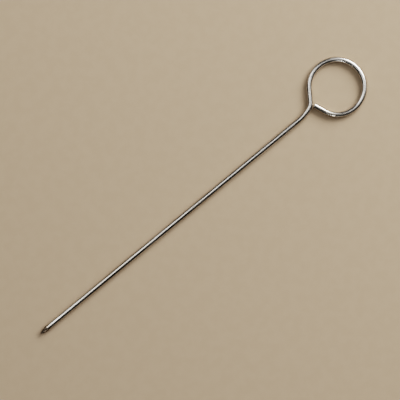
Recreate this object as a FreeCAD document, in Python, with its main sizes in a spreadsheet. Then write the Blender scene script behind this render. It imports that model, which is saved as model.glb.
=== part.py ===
"""Ring-ended wire pin: one length of round steel wire, ground to a point at one
end and bent round into an open ring at the other.

Frame: +X runs from the point to the ring along the length, +Y is across the
ring, +Z is up. The pin lies flat, the origin is on the surface that it lies on,
at the middle of its length and of the ring's width. All lengths are in
millimetres and all angles in degrees.
"""
import FreeCAD, Part
import math
import os
import Sketcher

# ---------------------------------------------------------------- dimensions
# alias, value, what it is
DIMENSIONS = [
    ("wire_dia", 2.0, "diameter of the wire"),
    ("overall_length", 150.0, "from the point to the far side of the ring"),
    ("ring_bore", 18.0, "clear width inside the ring"),
    ("ring_sweep", 252.0, "how far the even part of the ring runs"),
    ("closing_radius", 9.4, "centreline radius of the ring's last, tighter stretch"),
    ("closing_turn", 52.0, "how far that last stretch runs"),
    ("shank_offset", 0.55, "shank axis below the middle of the ring"),
    ("soft_bend_radius", 21.0, "centreline radius of the gentle first bend"),
    ("soft_bend_angle", 14.0, "turn of the first bend"),
    ("neck_bend_radius", 5.0, "centreline radius of the tight second bend"),
    ("leg_angle", 55.5, "slope of the straight leg between neck and ring"),
    ("tail_length", 4.4, "straight end that closes the ring"),
    ("tail_edge_break", 0.15, "rounding of the sheared end's edge"),
    ("point_length", 3.1, "length of the ground point"),
    ("point_crown_radius", 12.0, "radius of the point's slightly bulged flank"),
    ("point_tip_dia", 0.3, "width of the blunted tip"),
    ("grind_margin", 0.5, "how far the grinding profile stands off the wire"),
]

doc = FreeCAD.newDocument("ring_ended_wire_pin")
sheet = doc.addObject("Spreadsheet::Sheet", "dims")
for row, (alias, value, meaning) in enumerate(DIMENSIONS, start=1):
    sheet.set(f"A{row}", alias)
    sheet.set(f"B{row}", str(value))
    sheet.set(f"C{row}", meaning)
    sheet.setAlias(f"B{row}", alias)
doc.recompute()


def size(alias):
    """The value that the sheet holds under this name."""
    return float(sheet.get(alias))


def origin_plane(body, role):
    """One of the body's own origin planes, found by its role."""
    return next(f for f in body.Origin.OriginFeatures if f.Role == role)


def new_sketch(body, name, role):
    """A sketch that lies flat on one of the body's origin planes."""
    sketch = body.newObject("Sketcher::SketchObject", name)
    sketch.AttachmentSupport = [(origin_plane(body, role), "")]
    sketch.MapMode = "FlatFace"
    return sketch


def constrain(sketch, name, expression, *parts):
    """Add a dimension to the sketch and bind it to the sheet."""
    index = sketch.addConstraint(Sketcher.Constraint(*parts))
    sketch.renameConstraint(index, name)
    sketch.setExpression(f"Constraints.{name}", expression)
    return index


# Ends of a line or an arc, and the sketch's own origin, in the solver's terms.
START, END, CENTRE = 1, 2, 3
ORIGIN = -1
X_AXIS = -1

# Two sizes closer than this, in millimetres, are the same size.
SAME_SIZE = 1e-3


# ---------------------------------------------------------- first positions
def first_route():
    """Corner points of the wire's route, close enough for the solver to start."""
    ring_radius = (size("ring_bore") + size("wire_dia")) / 2
    ring_x = size("overall_length") / 2 - ring_radius - size("wire_dia") / 2
    leg = math.radians(size("leg_angle"))
    soft = math.radians(size("soft_bend_angle"))
    soft_r = size("soft_bend_radius")
    neck_r = size("neck_bend_radius")

    # The leg is tangent to the ring, which turns the other way.
    leg_top = FreeCAD.Vector(
        ring_x - ring_radius * math.sin(leg), ring_radius * math.cos(leg), 0)
    drop = leg_top.y + size("shank_offset")
    drop -= soft_r * (1 - math.cos(soft))
    drop -= neck_r * (math.cos(soft) - math.cos(leg))
    leg_length = drop / math.sin(leg)
    leg_foot = leg_top - FreeCAD.Vector(math.cos(leg), math.sin(leg), 0) * leg_length

    neck_centre = leg_foot + FreeCAD.Vector(-math.sin(leg), math.cos(leg), 0) * neck_r
    soft_top = neck_centre + FreeCAD.Vector(math.sin(soft), -math.cos(soft), 0) * neck_r
    soft_centre = soft_top + FreeCAD.Vector(-math.sin(soft), math.cos(soft), 0) * soft_r
    return {
        "ring_radius": ring_radius,
        "ring_centre": FreeCAD.Vector(ring_x, 0, 0),
        "leg_top": leg_top,
        "leg_foot": leg_foot,
        "neck_centre": neck_centre,
        "soft_centre": soft_centre,
        "shank_end": soft_centre - FreeCAD.Vector(0, soft_r, 0),
    }


def unit(angle):
    """The direction at this angle from X, in radians, in the XY plane."""
    return FreeCAD.Vector(math.cos(angle), math.sin(angle), 0)


def arc(centre, radius, start_angle, end_angle):
    """A counter-clockwise arc in the XY plane, its angles in radians."""
    circle = Part.Circle(centre, FreeCAD.Vector(0, 0, 1), radius)
    return Part.ArcOfCircle(circle, start_angle, end_angle)


# --------------------------------------------------------------- wire's route
def route_sketch(body):
    """Centreline: shank, gentle bend, tight bend, leg, open ring and tail.

    The ring is the largest of the arcs, and closes with a slightly tighter one.
    """
    sketch = new_sketch(body, "route", "XY_Plane")
    at = first_route()
    leg = math.radians(size("leg_angle"))
    soft = math.radians(size("soft_bend_angle"))
    quarter = math.pi / 2
    ring_from = leg + quarter - math.radians(size("ring_sweep"))
    closing_from = ring_from - math.radians(size("closing_turn"))
    closing_r = size("closing_radius")
    closing_centre = at["ring_centre"] + unit(ring_from) * (at["ring_radius"] - closing_r)
    tail_start = closing_centre + unit(closing_from) * closing_r
    tail_way = unit(closing_from - quarter)
    tip = FreeCAD.Vector(-size("overall_length") / 2, -size("shank_offset"), 0)

    shank = sketch.addGeometry(Part.LineSegment(tip, at["shank_end"]), False)
    soft_bend = sketch.addGeometry(
        arc(at["soft_centre"], size("soft_bend_radius"), -quarter, soft - quarter), False)
    neck_bend = sketch.addGeometry(
        arc(at["neck_centre"], size("neck_bend_radius"), soft - quarter, leg - quarter), False)
    leg_line = sketch.addGeometry(Part.LineSegment(at["leg_foot"], at["leg_top"]), False)
    ring = sketch.addGeometry(
        arc(at["ring_centre"], at["ring_radius"], ring_from, leg + quarter), False)
    closing = sketch.addGeometry(
        arc(closing_centre, closing_r, closing_from, ring_from), False)
    tail = sketch.addGeometry(
        Part.LineSegment(tail_start, tail_start + tail_way * size("tail_length")), False)

    for joint in (
        (shank, END, soft_bend, START),
        (soft_bend, END, neck_bend, START),
        (neck_bend, END, leg_line, START),
        (leg_line, END, ring, END),
        (ring, START, closing, END),
        (closing, START, tail, START),
    ):
        sketch.addConstraint(Sketcher.Constraint("Tangent", *joint))
    sketch.addConstraint(Sketcher.Constraint("Horizontal", shank))
    sketch.addConstraint(Sketcher.Constraint("PointOnObject", ring, CENTRE, X_AXIS))

    constrain(sketch, "soft_radius", "dims.soft_bend_radius",
              "Radius", soft_bend, size("soft_bend_radius"))
    constrain(sketch, "neck_radius", "dims.neck_bend_radius",
              "Radius", neck_bend, size("neck_bend_radius"))
    constrain(sketch, "ring_radius", "(dims.ring_bore + dims.wire_dia) / 2",
              "Radius", ring, at["ring_radius"])
    constrain(sketch, "soft_turn", "dims.soft_bend_angle * 1 deg",
              "Angle", soft_bend, soft)
    constrain(sketch, "leg_slope", "dims.leg_angle * 1 deg",
              "Angle", leg_line, leg)
    constrain(sketch, "ring_turn", "dims.ring_sweep * 1 deg",
              "Angle", ring, math.radians(size("ring_sweep")))
    constrain(sketch, "closing_radius", "dims.closing_radius",
              "Radius", closing, closing_r)
    constrain(sketch, "closing_turn", "dims.closing_turn * 1 deg",
              "Angle", closing, math.radians(size("closing_turn")))
    constrain(sketch, "tail_run", "dims.tail_length",
              "Distance", tail, size("tail_length"))
    constrain(sketch, "tip_x", "dims.overall_length / 2",
              "DistanceX", shank, START, ORIGIN, 1, size("overall_length") / 2)
    constrain(sketch, "shank_y", "dims.shank_offset",
              "DistanceY", shank, START, ORIGIN, 1, size("shank_offset"))
    constrain(sketch, "ring_x", "(dims.overall_length - dims.ring_bore) / 2 - dims.wire_dia",
              "DistanceX", ORIGIN, 1, ring, CENTRE, at["ring_centre"].x)
    return sketch


def section_sketch(body):
    """Round section of the wire, standing across the shank at its free end."""
    sketch = new_sketch(body, "section", "YZ_Plane")
    sketch.setExpression("AttachmentOffset.Base.x", "-dims.shank_offset")
    sketch.setExpression("AttachmentOffset.Base.z", "-dims.overall_length / 2")
    centre = FreeCAD.Vector(0, 0, 0)
    circle = sketch.addGeometry(
        Part.Circle(centre, FreeCAD.Vector(0, 0, 1), size("wire_dia") / 2), False)
    sketch.addConstraint(Sketcher.Constraint("Coincident", circle, CENTRE, ORIGIN, 1))
    constrain(sketch, "wire_radius", "dims.wire_dia / 2",
              "Radius", circle, size("wire_dia") / 2)
    return sketch


# ------------------------------------------------------------------ the point
def point_sketch(body):
    """What grinding takes off the end: the space outside the point's flank.

    Its origin is the tip of the pin and its X axis is the shank's axis.
    """
    sketch = new_sketch(body, "point_profile", "XY_Plane")
    sketch.setExpression("AttachmentOffset.Base.x", "-dims.overall_length / 2")
    sketch.setExpression("AttachmentOffset.Base.y", "-dims.shank_offset")
    length = size("point_length")
    wire_r = size("wire_dia") / 2
    tip_r = size("point_tip_dia") / 2
    crown_r = size("point_crown_radius")
    margin = size("grind_margin")

    tip = FreeCAD.Vector(0, tip_r, 0)
    shoulder = FreeCAD.Vector(length, wire_r, 0)
    chord = shoulder - tip
    inward = FreeCAD.Vector(chord.y, -chord.x, 0) / chord.Length
    crown_centre = (tip + shoulder) / 2 + inward * math.sqrt(
        crown_r ** 2 - (chord.Length / 2) ** 2)
    from_centre = shoulder - crown_centre
    to_tip = tip - crown_centre
    flank = sketch.addGeometry(arc(
        crown_centre, crown_r,
        math.atan2(from_centre.y, from_centre.x), math.atan2(to_tip.y, to_tip.x)), False)

    corners = [
        tip,
        FreeCAD.Vector(0, 0, 0),
        FreeCAD.Vector(-margin, 0, 0),
        FreeCAD.Vector(-margin, wire_r + margin, 0),
        FreeCAD.Vector(length, wire_r + margin, 0),
        shoulder,
    ]
    sides = [
        sketch.addGeometry(Part.LineSegment(a, b), False)
        for a, b in zip(corners, corners[1:])
    ]
    land, axis_run, front, top, back = sides
    for first, second in zip(sides, sides[1:]):
        sketch.addConstraint(Sketcher.Constraint("Coincident", first, END, second, START))
    sketch.addConstraint(Sketcher.Constraint("Coincident", back, END, flank, START))
    sketch.addConstraint(Sketcher.Constraint("Coincident", flank, END, land, START))
    sketch.addConstraint(Sketcher.Constraint("Coincident", land, END, ORIGIN, 1))
    for upright in (land, front, back):
        sketch.addConstraint(Sketcher.Constraint("Vertical", upright))
    for level in (axis_run, top):
        sketch.addConstraint(Sketcher.Constraint("Horizontal", level))

    constrain(sketch, "tip_half_width", "dims.point_tip_dia / 2",
              "Distance", land, tip_r)
    constrain(sketch, "front_margin", "dims.grind_margin",
              "Distance", axis_run, margin)
    constrain(sketch, "outer_margin", "dims.wire_dia / 2 + dims.grind_margin",
              "Distance", front, wire_r + margin)
    constrain(sketch, "shoulder_margin", "dims.grind_margin",
              "Distance", back, margin)
    constrain(sketch, "length_to_shoulder", "dims.point_length",
              "DistanceX", ORIGIN, 1, back, END, length)
    constrain(sketch, "crown_radius", "dims.point_crown_radius",
              "Radius", flank, crown_r)
    return sketch


def tail_end_edge(shape):
    """Name of the edge round the ring's free end, the wire's one flat end of full width."""
    wire_r = size("wire_dia") / 2
    for number, edge in enumerate(shape.Edges, start=1):
        curve = edge.Curve
        if not isinstance(curve, Part.Circle) or abs(curve.Radius - wire_r) > SAME_SIZE:
            continue
        faces = shape.ancestorsOfType(edge, Part.Face)
        if any(isinstance(face.Surface, Part.Plane) for face in faces):
            return f"Edge{number}"
    raise RuntimeError("the ring's free end was not found")


def wire_pin():
    """The whole pin as one body: swept wire, ground point, deburred tail end."""
    body = doc.addObject("PartDesign::Body", "wire_pin")
    body.Label = "wire_pin"
    route = route_sketch(body)
    section = section_sketch(body)
    doc.recompute()

    sweep = body.newObject("PartDesign::AdditivePipe", "bent_wire")
    sweep.Profile = section
    sweep.Spine = (route, [])
    sweep.Mode = "Standard"
    doc.recompute()
    swept_volume = sweep.Shape.Volume

    profile = point_sketch(body)
    doc.recompute()
    point = body.newObject("PartDesign::Groove", "ground_point")
    point.Profile = profile
    point.ReferenceAxis = (profile, ["H_Axis"])
    point.Angle = 360
    body.Tip = point
    doc.recompute()
    if not point.Shape.Volume < swept_volume:
        raise RuntimeError("the grinding profile took nothing off the wire")

    deburr = body.newObject("PartDesign::Fillet", "deburred_tail")
    deburr.Base = (point, [tail_end_edge(point.Shape)])
    deburr.setExpression("Radius", "dims.tail_edge_break")
    body.Tip = deburr

    body.setExpression("Placement.Base.z", "dims.wire_dia / 2")
    doc.recompute()
    return body


def check(sub_parts):
    """Stop before anything is written if a feature failed or a shape is bad."""
    for item in doc.Objects:
        if {"Invalid", "Error"} & set(item.State):
            raise RuntimeError(f"{item.Name} failed: {item.State}")
    for part in sub_parts:
        if part.Shape.isNull() or not part.Shape.isValid():
            raise RuntimeError(f"{part.Label} has no valid shape")


sub_parts = [wire_pin()]
check(sub_parts)

os.makedirs("parts", exist_ok=True)
for part in sub_parts:
    part.Shape.exportStep(f"parts/{part.Label}.step")
    box = part.Shape.optimalBoundingBox(False, False)
    print(f"{part.Label}: {box.XMin:.3f}..{box.XMax:.3f}, {box.YMin:.3f}..{box.YMax:.3f},"
          f" {box.ZMin:.3f}..{box.ZMax:.3f} mm, {part.Shape.Volume:.2f} mm3")
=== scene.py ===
"""Looks of the ring-ended wire pin: a swept steel wire, a floor, lights and a camera.

Everything is in metres and in the row frame: +X from the point to the ring, +Y
across the ring, +Z up, the origin on the floor under the middle of the pin.
"""
import math

import bpy
import numpy as np
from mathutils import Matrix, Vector


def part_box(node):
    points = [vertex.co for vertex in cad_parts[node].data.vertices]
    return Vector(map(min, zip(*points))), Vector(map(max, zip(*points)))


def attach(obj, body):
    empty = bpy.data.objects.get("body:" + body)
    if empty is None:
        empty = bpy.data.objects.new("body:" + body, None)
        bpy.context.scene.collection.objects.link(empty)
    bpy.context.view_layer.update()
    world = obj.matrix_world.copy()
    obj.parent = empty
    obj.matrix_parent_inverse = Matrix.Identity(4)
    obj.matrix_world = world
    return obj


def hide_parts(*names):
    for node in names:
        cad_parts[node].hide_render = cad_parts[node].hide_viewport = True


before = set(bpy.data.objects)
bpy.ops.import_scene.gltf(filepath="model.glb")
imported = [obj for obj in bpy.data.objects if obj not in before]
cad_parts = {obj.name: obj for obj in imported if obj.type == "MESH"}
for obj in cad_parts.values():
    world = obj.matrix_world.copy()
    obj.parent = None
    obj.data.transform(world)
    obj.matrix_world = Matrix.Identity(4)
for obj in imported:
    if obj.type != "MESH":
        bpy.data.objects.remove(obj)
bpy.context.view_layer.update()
BOX_LOW, BOX_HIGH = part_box("wire_pin")

MM = 0.001
MICROMETRE = 0.001 * MM

# ------------------------------------------------------------ the pin's sizes
# The box gives the length, the ring and the wire; the rest repeats the design.
WIRE_RADIUS = (BOX_HIGH.z - BOX_LOW.z) / 2
RING_RADIUS = min(BOX_HIGH.y, -BOX_LOW.y) - WIRE_RADIUS
RING_CENTRE = Vector((BOX_HIGH.x - WIRE_RADIUS - RING_RADIUS, 0.0, 0.0))
AXIS_HEIGHT = (BOX_HIGH.z + BOX_LOW.z) / 2
SHANK_OFFSET = 0.55 * MM
SOFT_BEND_RADIUS = 21.0 * MM
SOFT_BEND_TURN = math.radians(14.0)
NECK_BEND_RADIUS = 5.0 * MM
LEG_SLOPE = math.radians(55.5)
RING_SWEEP = math.radians(252.0)
CLOSING_RADIUS = 9.4 * MM
CLOSING_TURN = math.radians(52.0)
TAIL_LENGTH = 4.4 * MM
TAIL_EDGE = 0.15 * MM
POINT_LENGTH = 3.1 * MM
POINT_CROWN_RADIUS = 12.0 * MM
POINT_TIP_RADIUS = 0.15 * MM

# ------------------------------------- what making the pin left on its surface
STRAIN_BLEND = 1.2 * MM             # length over which a bend comes and goes
BEND_FLATTENING = 0.03              # share of its width that the wire loses at the neck
# Each dent: length along the wire, angle round it from its left side, depth, and its
# half length and half angle.
DENTS = (
    (120.4 * MM, math.radians(4), 0.015 * MM, 1.3 * MM, 0.60),
    (124.6 * MM, math.radians(8), 0.025 * MM, 1.2 * MM, 0.60),
    (127.4 * MM, math.radians(183), 0.015 * MM, 1.2 * MM, 0.50),
    (185.6 * MM, math.radians(95), 0.015 * MM, 0.9 * MM, 0.50),
    (187.9 * MM, math.radians(268), 0.025 * MM, 0.7 * MM, 0.50),
)
TIP_FLATNESS = 0.3                  # depth of the blunted tip over its radius
CUT_STEP_HEIGHT = 0.15 * MM         # above this the tail face is sheared, below it is torn
CUT_STEP_BLEND = 0.06 * MM
CUT_STEP_DEPTH = 0.03 * MM
CUT_RIPPLE = 0.09 * MM
CUT_RIPPLE_DEPTH = 0.010 * MM
CUT_RIPPLE_SWING = 2.0              # how far the ripples wander, in radians of a ripple
CUT_RIPPLE_SWING_RATE = 0.6         # and how fast they do, against the ripples' own rate
CUT_SLANT = 0.03

# ------------------------------------------------------- how fine the mesh is
SIDES = 96
STRAIN_SAMPLES = 8                  # samples of the bending in each STRAIN_BLEND
SHANK_STEP = 0.4 * MM
BEND_STEP = 0.15 * MM
POINT_RINGS = 60
TIP_SHARES = (0.35, 0.7, 0.92)      # of the tip's radius, with a ring of corners at each
EDGE_RINGS = 6
FACE_RINGS = 14

# ------------------------------------------------------------ colours and gloss
STEEL_BRIGHT = (0.62, 0.60, 0.57, 1.0)
STEEL_FILMED = (0.52, 0.49, 0.445, 1.0)
STEEL_STREAK = (0.45, 0.425, 0.39, 1.0)
STEEL_TINTED = (0.36, 0.29, 0.21, 1.0)
# Partly the darker ground steel, partly painted: the dark room and shaded floor that the
# point's cone reflects.
STEEL_GROUND_AND_PAINTED_REFLECTION = (0.17, 0.135, 0.105, 1.0)
STEEL_CUT = (0.47, 0.45, 0.43, 1.0)
STEEL_PIT = (0.10, 0.08, 0.065, 1.0)
ROUGH_BRIGHT = 0.15
ROUGH_HAZED = 0.27
FLOOR_PALE = (0.425, 0.338, 0.250, 1.0)
FLOOR_DEEP = (0.416, 0.330, 0.243, 1.0)

# Noise over the straightened wire, in millimetres: factors on the place along, across
# and up, where a small one draws the noise out that way, then its scale and detail.
FINE_LINES = ((0.05, 1.0, 1.0), 11.0, 3.0)
BROAD_STREAKS = ((0.02, 1.0, 1.0), 2.6, 2.0)
HAZE = ((0.16, 0.8, 0.8), 1.0, 3.0)
FILM = ((0.045, 0.35, 0.35), 1.0, 2.0)
SCRATCH_FIELD = ((0.30, 1.0, 1.0), 1.5, 1.0)
SCRATCH_BREAKS = ((1.0, 1.0, 1.0), 0.55, 1.0)
BELT_RINGS = ((1.0, 0.05, 0.05), 11.0, 3.0)
BEND_PEEL = ((1.0, 1.0, 1.0), 7.0, 2.0)
TORN_FACE = ((1.0, 0.6, 2.4), 7.0, 4.0)
NOISE_MIDDLE = 0.5

# The values of a noise between which its effect comes on.
SCRATCH_SPAN = (0.52, 0.60)
FILM_SPAN = (0.38, 0.68)
STREAK_SPAN = (0.45, 0.75)
HAZE_SPAN = (0.35, 0.70)
RAGGED_SPAN = (0.3, 0.7)

SCRATCH_HALF_WIDTH = 0.007          # in the scratch field's own values
PIT_SCALE = 1.3
PIT_INNER, PIT_OUTER = 0.03, 0.07   # in cells: the pit's floor and its rim
PIT_RARITY = 0.72                   # share of the cells that have no pit
GRIND_EDGE = 0.12                   # half width of the ground point's ragged end, in mm
HEAT_TINT_LENGTH = 2.6              # behind the ground point, in mm

# How far each of these turns the steel's colour into its own.
STREAK_SHARE = 0.5
TINT_SHARE = 0.55
GROUND_AND_PAINTED_REFLECTION_SHARE = 0.85
CUT_SHARE = 0.6
PIT_SHARE = 0.8

# What each adds to the roughness.
ROUGHER_STREAK = 0.06
ROUGHER_WORKED = 0.06
ROUGHER_SCRATCH = 0.16
ROUGHER_PIT = 0.30
ROUGHER_GROUND = 0.16
ROUGHER_CUT = 0.14

# Heights of the relief in micrometres.
FINE_HEIGHT = 2.2
STREAK_HEIGHT = 6.0
SCRATCH_HEIGHT = -2.0
PIT_HEIGHT = -8.0
PEEL_HEIGHT = 2.5
BELT_HEIGHT = 7.0
TORN_HEIGHT = 22.0

FLOOR_MOTTLE_SCALE = 260.0
FLOOR_MOTTLE_DETAIL = 4.0
FLOOR_MOTTLE_SPAN = (0.35, 0.65)
FLOOR_ROUGHNESS = 0.9
FLOOR_SPECULAR = 0.1
FLOOR_HALF = 3.0
FLOOR_CORNERS = ((-1, -1), (1, -1), (1, 1), (-1, 1))

# --------------------------------------------------------- view and lighting
VIEW_TURN = math.radians(39.55)     # how far the pin lies turned in the picture
VIEW_WIDTH = 0.9626 * (BOX_HIGH.x - BOX_LOW.x)      # of the picture, at the wire's axis
CAMERA_HEIGHT = 1.5
SENSOR = 36.0
NEAREST, FURTHEST = 0.1, 20.0       # what the camera can see
ROOM_COLOUR = (0.08, 0.08, 0.08, 1.0)
EXPOSURE = -1.1
LIGHT_DISTANCE = 0.9
# Each soft box: its name, azimuth in the picture, counted from its right, and elevation,
# both in degrees, width and height, and power in watts.
LIGHTS = (
    ("key", 46, 27, (0.66, 0.42), 22.0),
    ("window", 45, 45, (1.25, 0.60), 3.2),
    ("lamp", 147, 58, (0.36, 1.10), 3.9),
    ("panel_right", 2, 66, (0.18, 0.50), 0.70),
    ("panel_left", 186, 68, (0.22, 0.50), 0.42),
    ("small_lamp", 265.5, 32, (0.12, 0.12), 1.5),
)


# ================================================================ centreline
class Route:
    """The wire's centreline, walked from the point: places, headings, lengths."""

    def __init__(self, start, heading):
        self.places = [np.array(start, float)]
        self.headings = [heading]
        self.lengths = [0.0]

    def _add(self, place, heading, step):
        self.places.append(place)
        self.headings.append(heading)
        self.lengths.append(self.lengths[-1] + step)

    def straight(self, length, step):
        count = max(1, math.ceil(length / step))
        for _ in range(count):
            heading = self.headings[-1]
            way = np.array((math.cos(heading), math.sin(heading)))
            self._add(self.places[-1] + way * length / count, heading, length / count)

    def bend(self, radius, turn, step):
        """An arc that turns left for a positive turn and right for a negative one."""
        side = math.copysign(1.0, turn)
        heading = self.headings[-1]
        centre = self.places[-1] + side * radius * np.array(
            (-math.sin(heading), math.cos(heading)))
        count = max(2, math.ceil(radius * abs(turn) / step))
        for _ in range(count):
            heading += turn / count
            outward = side * radius * np.array((math.sin(heading), -math.cos(heading)))
            self._add(centre + outward, heading, radius * abs(turn) / count)


def wire_route():
    """Shank, soft bend, neck bend, leg, open ring, closing bend and tail, as designed."""
    leg_top = np.array((
        RING_CENTRE.x - RING_RADIUS * math.sin(LEG_SLOPE),
        RING_RADIUS * math.cos(LEG_SLOPE)))
    rise = leg_top[1] + SHANK_OFFSET
    rise -= SOFT_BEND_RADIUS * (1 - math.cos(SOFT_BEND_TURN))
    rise -= NECK_BEND_RADIUS * (math.cos(SOFT_BEND_TURN) - math.cos(LEG_SLOPE))
    leg_length = rise / math.sin(LEG_SLOPE)
    run = leg_length * math.cos(LEG_SLOPE)
    run += NECK_BEND_RADIUS * (math.sin(LEG_SLOPE) - math.sin(SOFT_BEND_TURN))
    run += SOFT_BEND_RADIUS * math.sin(SOFT_BEND_TURN)
    shank_length = leg_top[0] - run - BOX_LOW.x

    route = Route((BOX_LOW.x, -SHANK_OFFSET), 0.0)
    route.straight(POINT_LENGTH, POINT_LENGTH / POINT_RINGS)
    route.straight(shank_length - POINT_LENGTH, SHANK_STEP)
    route.bend(SOFT_BEND_RADIUS, SOFT_BEND_TURN, BEND_STEP)
    route.bend(NECK_BEND_RADIUS, LEG_SLOPE - SOFT_BEND_TURN, BEND_STEP)
    route.straight(leg_length, BEND_STEP)
    route.bend(RING_RADIUS, -RING_SWEEP, BEND_STEP)
    route.bend(CLOSING_RADIUS, -CLOSING_TURN, BEND_STEP)
    route.straight(TAIL_LENGTH, BEND_STEP)
    return route


# ================================================================== the mesh
def point_radius(along):
    """Radius of the ground point this far from the tip: a flank with a slight crown."""
    chord = np.array((POINT_LENGTH, WIRE_RADIUS - POINT_TIP_RADIUS))
    span = np.linalg.norm(chord)
    inward = np.array((chord[1], -chord[0])) / span
    centre = np.array((0.0, POINT_TIP_RADIUS)) + chord / 2
    centre += inward * math.sqrt(POINT_CROWN_RADIUS ** 2 - (span / 2) ** 2)
    return centre[1] + math.sqrt(POINT_CROWN_RADIUS ** 2 - (along - centre[0]) ** 2)


def bend_strain(route):
    """How hard the wire is bent at each place: 1 at the neck, 0 where it is straight."""
    lengths = np.array(route.lengths)
    turns = np.abs(np.gradient(np.array(route.headings), lengths))
    even = np.arange(0.0, lengths[-1], STRAIN_BLEND / STRAIN_SAMPLES)
    bend = np.interp(even, lengths, turns) * NECK_BEND_RADIUS
    kernel = np.hanning(2 * STRAIN_SAMPLES + 1)
    return np.interp(lengths, even, np.convolve(bend, kernel / kernel.sum(), "same"))


def dent_depth(along, angle):
    """Depth of the shallow flats that the bending pins and the cutter left."""
    depth = 0.0
    for place, facing, deepest, half_length, half_angle in DENTS:
        off = (angle - facing + math.pi) % (2 * math.pi) - math.pi
        spread = ((along - place) / half_length) ** 2 + (off / half_angle) ** 2
        depth += deepest * math.exp(-spread)
    return depth


def cut_drop(across, up):
    """How far the sheared tail face lies behind its furthest point, at this place on it."""
    broken = 0.5 + 0.5 * math.tanh((CUT_STEP_HEIGHT - up) / CUT_STEP_BLEND)
    wander = CUT_RIPPLE_SWING * math.sin(up / CUT_RIPPLE * CUT_RIPPLE_SWING_RATE)
    ripple = math.sin(across / CUT_RIPPLE + wander)
    slant = (WIRE_RADIUS - up) * CUT_SLANT
    return slant + broken * (CUT_STEP_DEPTH + CUT_RIPPLE_DEPTH * (1 + ripple))


def wire_rings(route):
    """Each cross-section of the wire: length along it, a near place on the route, radius."""
    total = route.lengths[-1]
    rings = []
    for share in TIP_SHARES:
        inset = POINT_TIP_RADIUS * TIP_FLATNESS * (1 - math.sqrt(1 - share ** 2))
        rings.append((inset, 0, POINT_TIP_RADIUS * share))
    first = POINT_TIP_RADIUS * TIP_FLATNESS
    last = total - TAIL_EDGE
    for index, length in enumerate(route.lengths):
        if first < length < last:
            radius = point_radius(length) if length < POINT_LENGTH else WIRE_RADIUS
            rings.append((length, index, radius))
    end = len(route.lengths) - 1
    for share in range(1, EDGE_RINGS + 1):
        turn = share / EDGE_RINGS * math.pi / 2
        rings.append((last + TAIL_EDGE * math.sin(turn), end,
                      WIRE_RADIUS - TAIL_EDGE * (1 - math.cos(turn))))
    for share in range(FACE_RINGS - 1, 0, -1):
        rings.append((total, end, (WIRE_RADIUS - TAIL_EDGE) * share / FACE_RINGS))
    return rings


def wire_mesh():
    """The whole wire as one closed mesh of rings joined by four-sided faces."""
    route = wire_route()
    strain = bend_strain(route)
    total = route.lengths[-1]
    angles = [2 * math.pi * k / SIDES for k in range(SIDES)]
    rings = wire_rings(route)

    corners, unbent, worked, cut = [], [], [], []

    def add_corner(length, index, across, up):
        """One corner, given on the straight wire and then set on the bent one."""
        edge = max(0.0, 1 - (total - length) / TAIL_EDGE)
        length -= edge * cut_drop(across, up)
        heading = route.headings[index]
        way = np.array((math.cos(heading), math.sin(heading), 0.0))
        side = np.array((-way[1], way[0], 0.0))
        place = np.array((*route.places[index], AXIS_HEIGHT))
        place += way * (length - route.lengths[index])
        squeeze = 1 - BEND_FLATTENING * strain[index]
        corners.append(place + side * across * squeeze + np.array((0.0, 0.0, up)))
        unbent.append((length, across, up))
        worked.append(strain[index])
        cut.append(edge)

    for length, index, radius in rings:
        for angle in angles:
            near = radius - dent_depth(length, angle) * min(1.0, radius / WIRE_RADIUS)
            add_corner(length, index, near * math.cos(angle), near * math.sin(angle))
    tip = len(corners)
    add_corner(0.0, 0, 0.0, 0.0)
    tail = len(corners)
    add_corner(total, len(route.lengths) - 1, 0.0, 0.0)

    faces = []
    for r in range(len(rings) - 1):
        for k in range(SIDES):
            n = (k + 1) % SIDES
            faces.append((r * SIDES + k, r * SIDES + n,
                          (r + 1) * SIDES + n, (r + 1) * SIDES + k))
    back = (len(rings) - 1) * SIDES
    for k in range(SIDES):
        n = (k + 1) % SIDES
        faces.append((tip, n, k))
        faces.append((tail, back + k, back + n))

    mesh = bpy.data.meshes.new("wire_pin_skin")
    mesh.from_pydata([tuple(c) for c in corners], [], faces)
    layer = mesh.attributes.new("unbent", "FLOAT_VECTOR", "POINT")
    layer.data.foreach_set("vector", np.array(unbent, np.float32).ravel())
    for name, values in (("worked", worked), ("cut", cut)):
        layer = mesh.attributes.new(name, "FLOAT", "POINT")
        layer.data.foreach_set("value", np.array(values, np.float32))
    mesh.polygons.foreach_set("use_smooth", [True] * len(mesh.polygons))
    mesh.update()
    return mesh


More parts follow.
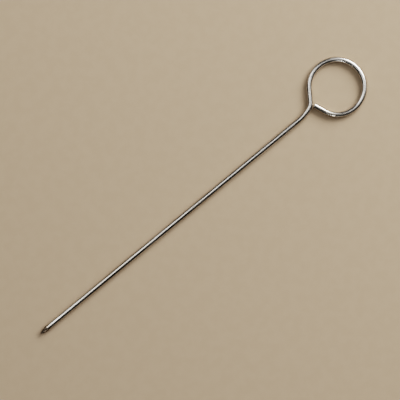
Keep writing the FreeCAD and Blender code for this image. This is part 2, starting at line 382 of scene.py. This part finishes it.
# ================================================================== material
class Graph:
    """Short calls that add a material's nodes and join them."""

    # The Mix node has sockets of every kind; these are the ones for colours.
    MIX_FIRST, MIX_SECOND, MIX_RESULT = 6, 7, 2

    def __init__(self, material):
        material.use_nodes = True
        self.tree = material.node_tree
        self.shader = self.tree.nodes["Principled BSDF"]

    def put(self, socket, value):
        if isinstance(value, bpy.types.NodeSocket):
            self.tree.links.new(value, socket)
        else:
            socket.default_value = value

    def add(self, kind, inputs, **settings):
        made = self.tree.nodes.new(kind)
        for name, value in settings.items():
            setattr(made, name, value)
        for name, value in inputs.items():
            self.put(made.inputs[name], value)
        return made

    def attribute(self, name, output):
        return self.add("ShaderNodeAttribute", {}, attribute_name=name).outputs[output]

    def stretch(self, vector, scale):
        made = self.add("ShaderNodeVectorMath", {}, operation="MULTIPLY")
        self.put(made.inputs[0], vector)
        self.put(made.inputs[1], scale)
        return made.outputs[0]

    def maths(self, operation, *values):
        made = self.add("ShaderNodeMath", {}, operation=operation)
        for socket, value in zip(made.inputs, values):
            self.put(socket, value)
        return made.outputs[0]

    def noise(self, vector, scale=1.0, detail=2.0):
        """Smooth noise with about one lump in each unit of the vector over the scale."""
        return self.add("ShaderNodeTexNoise", {
            "Vector": vector, "Scale": scale, "Detail": detail}).outputs[0]

    def between(self, value, low, high, to_low=0.0, to_high=1.0, kind="SMOOTHSTEP"):
        """The value's place between low and high, carried to the other two numbers."""
        return self.add("ShaderNodeMapRange", {
            "Value": value, "From Min": low, "From Max": high,
            "To Min": to_low, "To Max": to_high}, interpolation_type=kind).outputs[0]

    def mix(self, share, first, second):
        made = self.add("ShaderNodeMix", {}, data_type="RGBA")
        self.put(made.inputs["Factor"], share)
        self.put(made.inputs[self.MIX_FIRST], first)
        self.put(made.inputs[self.MIX_SECOND], second)
        return made.outputs[self.MIX_RESULT]


def steel_material():
    """Bright drawn steel: lengthwise lines and streaks, haze, scratches and a few pits.

    The ground point is darker, partly from grinding and partly as a painted dark reflection of
    the dim room and shaded floor that its cone faces; the bends are duller and the tail's face
    is torn.
    """
    material = bpy.data.materials.new("bright_steel_wire_skin")
    graph = Graph(material)
    place = graph.stretch(graph.attribute("unbent", "Vector"), (1 / MM, 1 / MM, 1 / MM))
    along = graph.add("ShaderNodeSeparateXYZ", {"Vector": place}).outputs["X"]
    worked = graph.attribute("worked", "Fac")
    cut = graph.attribute("cut", "Fac")

    def field(spread):
        """One of the noises over the straightened wire."""
        squeeze, scale, detail = spread
        return graph.noise(graph.stretch(place, squeeze), scale, detail)

    # Lines from the drawing die: fine ones, and broad streaks that run for centimetres.
    fine = field(FINE_LINES)
    streak = field(BROAD_STREAKS)

    # Haze dulls the skin in patches, and a film gives it a faint colour in others.
    haze = field(HAZE)
    film = field(FILM)

    # Scratches: thin level lines of a slow noise, broken up by a second one.
    off_middle = graph.maths("SUBTRACT", field(SCRATCH_FIELD), NOISE_MIDDLE)
    near = graph.maths("ABSOLUTE", off_middle)
    line = graph.between(near, 0.0, SCRATCH_HALF_WIDTH, 1.0, 0.0)
    broken = graph.between(field(SCRATCH_BREAKS), *SCRATCH_SPAN)
    scratch = graph.maths("MULTIPLY", line, broken)

    # Pits: the middles of a few of the cells.
    cells = graph.add("ShaderNodeTexVoronoi", {"Vector": place, "Scale": PIT_SCALE})
    chance = graph.add("ShaderNodeSeparateColor", {"Color": cells.outputs["Color"]}).outputs[0]
    middle = graph.between(cells.outputs["Distance"], PIT_INNER, PIT_OUTER, 1.0, 0.0)
    pit = graph.maths("MULTIPLY", middle, graph.maths("GREATER_THAN", chance, PIT_RARITY))

    # The ground point: rings left by the grinding belt, a ragged end, a heat tint, and a dark
    # brown colour that is partly ground steel and partly a painted reflection of the dark
    # surroundings.
    shoulder = POINT_LENGTH / MM
    shift = graph.between(fine, *RAGGED_SPAN, -GRIND_EDGE, GRIND_EDGE, "LINEAR")
    ragged = graph.maths("ADD", along, shift)
    ground = graph.between(ragged, shoulder - GRIND_EDGE, shoulder + GRIND_EDGE, 1.0, 0.0)
    tint = graph.between(ragged, shoulder, shoulder + HEAT_TINT_LENGTH, 1.0, 0.0)
    belt = field(BELT_RINGS)

    # The skin that bending roughened, and the torn part of the tail's face.
    peel = field(BEND_PEEL)
    torn = field(TORN_FACE)

    colour = graph.mix(graph.between(film, *FILM_SPAN), STEEL_BRIGHT, STEEL_FILMED)
    streaked = graph.between(streak, *STREAK_SPAN, 0.0, STREAK_SHARE)
    colour = graph.mix(streaked, colour, STEEL_STREAK)
    for share, amount, other in (
        (tint, TINT_SHARE, STEEL_TINTED),
        # The ground point: partly real darkening from grinding, partly a painted dark
        # reflection.
        (ground, GROUND_AND_PAINTED_REFLECTION_SHARE, STEEL_GROUND_AND_PAINTED_REFLECTION),
        (cut, CUT_SHARE, STEEL_CUT),
        (pit, PIT_SHARE, STEEL_PIT),
    ):
        colour = graph.mix(graph.maths("MULTIPLY", share, amount), colour, other)
    graph.put(graph.shader.inputs["Base Color"], colour)

    rough = graph.between(haze, *HAZE_SPAN, ROUGH_BRIGHT, ROUGH_HAZED)
    for share, amount in (
        (streak, ROUGHER_STREAK),
        (worked, ROUGHER_WORKED),
        (scratch, ROUGHER_SCRATCH),
        (pit, ROUGHER_PIT),
        (ground, ROUGHER_GROUND),
        (cut, ROUGHER_CUT),
    ):
        rough = graph.maths("MULTIPLY_ADD", share, amount, rough)
    graph.put(graph.shader.inputs["Roughness"], rough)

    # The relief, added up into one bump. The drawing lines end where grinding or the
    # shear cut them off.
    drawn = graph.maths("SUBTRACT", 1.0, graph.maths("MAXIMUM", ground, cut))
    height = graph.maths("MULTIPLY", graph.maths("MULTIPLY", fine, FINE_HEIGHT), drawn)
    for share, amount in (
        (streak, STREAK_HEIGHT),
        (scratch, SCRATCH_HEIGHT),
        (pit, PIT_HEIGHT),
        (graph.maths("MULTIPLY", peel, worked), PEEL_HEIGHT),
        (graph.maths("MULTIPLY", belt, ground), BELT_HEIGHT),
        (graph.maths("MULTIPLY", torn, cut), TORN_HEIGHT),
    ):
        height = graph.maths("MULTIPLY_ADD", share, amount, height)
    bump = graph.add("ShaderNodeBump", {
        "Height": height, "Strength": 1.0, "Distance": MICROMETRE})
    graph.put(graph.shader.inputs["Normal"], bump.outputs[0])
    graph.shader.inputs["Metallic"].default_value = 1.0
    return material


def floor_material():
    """Plain pale paper, with only the faintest mottling."""
    material = bpy.data.materials.new("floor_paper")
    graph = Graph(material)
    place = graph.add("ShaderNodeTexCoord", {}).outputs["Object"]
    mottle = graph.noise(place, FLOOR_MOTTLE_SCALE, FLOOR_MOTTLE_DETAIL)
    graph.put(graph.shader.inputs["Base Color"],
              graph.mix(graph.between(mottle, *FLOOR_MOTTLE_SPAN), FLOOR_DEEP, FLOOR_PALE))
    graph.shader.inputs["Roughness"].default_value = FLOOR_ROUGHNESS
    graph.shader.inputs["Specular IOR Level"].default_value = FLOOR_SPECULAR
    return material


# ============================================================ stage and light
def add_object(name, data):
    made = bpy.data.objects.new(name, data)
    bpy.context.scene.collection.objects.link(made)
    return made


def make_floor():
    mesh = bpy.data.meshes.new("floor")
    corners = [(x * FLOOR_HALF, y * FLOOR_HALF, 0) for x, y in FLOOR_CORNERS]
    mesh.from_pydata(corners, [], [(0, 1, 2, 3)])
    mesh.materials.append(floor_material())
    floor = add_object("floor", mesh)


def make_light(name, azimuth, elevation, size, power):
    """A soft box aimed at the middle of the pin."""
    data = bpy.data.lights.new(name, "AREA")
    data.shape = "RECTANGLE"
    data.size, data.size_y = size
    data.energy = power
    turn = math.radians(azimuth) - VIEW_TURN
    rise = math.radians(elevation)
    way = Vector((
        math.cos(turn) * math.cos(rise), math.sin(turn) * math.cos(rise), math.sin(rise)))
    light = add_object(name, data)
    light.location = way * LIGHT_DISTANCE
    light.rotation_mode = "QUATERNION"
    light.rotation_quaternion = way.to_track_quat("Z", "Y")
    light.visible_camera = False


def make_camera():
    """Straight above the pin, through a long lens, the pin turned as in the photograph."""
    data = bpy.data.cameras.new("camera")
    data.type = "PERSP"
    data.sensor_width = SENSOR
    data.lens = SENSOR * (CAMERA_HEIGHT - AXIS_HEIGHT) / VIEW_WIDTH
    data.clip_start, data.clip_end = NEAREST, FURTHEST
    camera = add_object("camera", data)
    camera.location = (0.0, 0.0, CAMERA_HEIGHT)
    camera.rotation_euler = (0.0, 0.0, -VIEW_TURN)
    bpy.context.scene.camera = camera


def make_world():
    world = bpy.data.worlds.new("dim_room")
    world.use_nodes = True
    background = world.node_tree.nodes["Background"]
    background.inputs["Color"].default_value = ROOM_COLOUR
    bpy.context.scene.world = world


make_camera()
make_world()
make_floor()
for light in LIGHTS:
    make_light(*light)
# A soft shoulder keeps the ring's highlight from burning out.
settings = bpy.context.scene.view_settings
settings.view_transform = "Filmic"
settings.look = "Very High Contrast"
settings.exposure = EXPOSURE

pin = add_object("steel_wire", wire_mesh())
pin.data.materials.append(steel_material())
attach(pin, "root")
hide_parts("wire_pin")
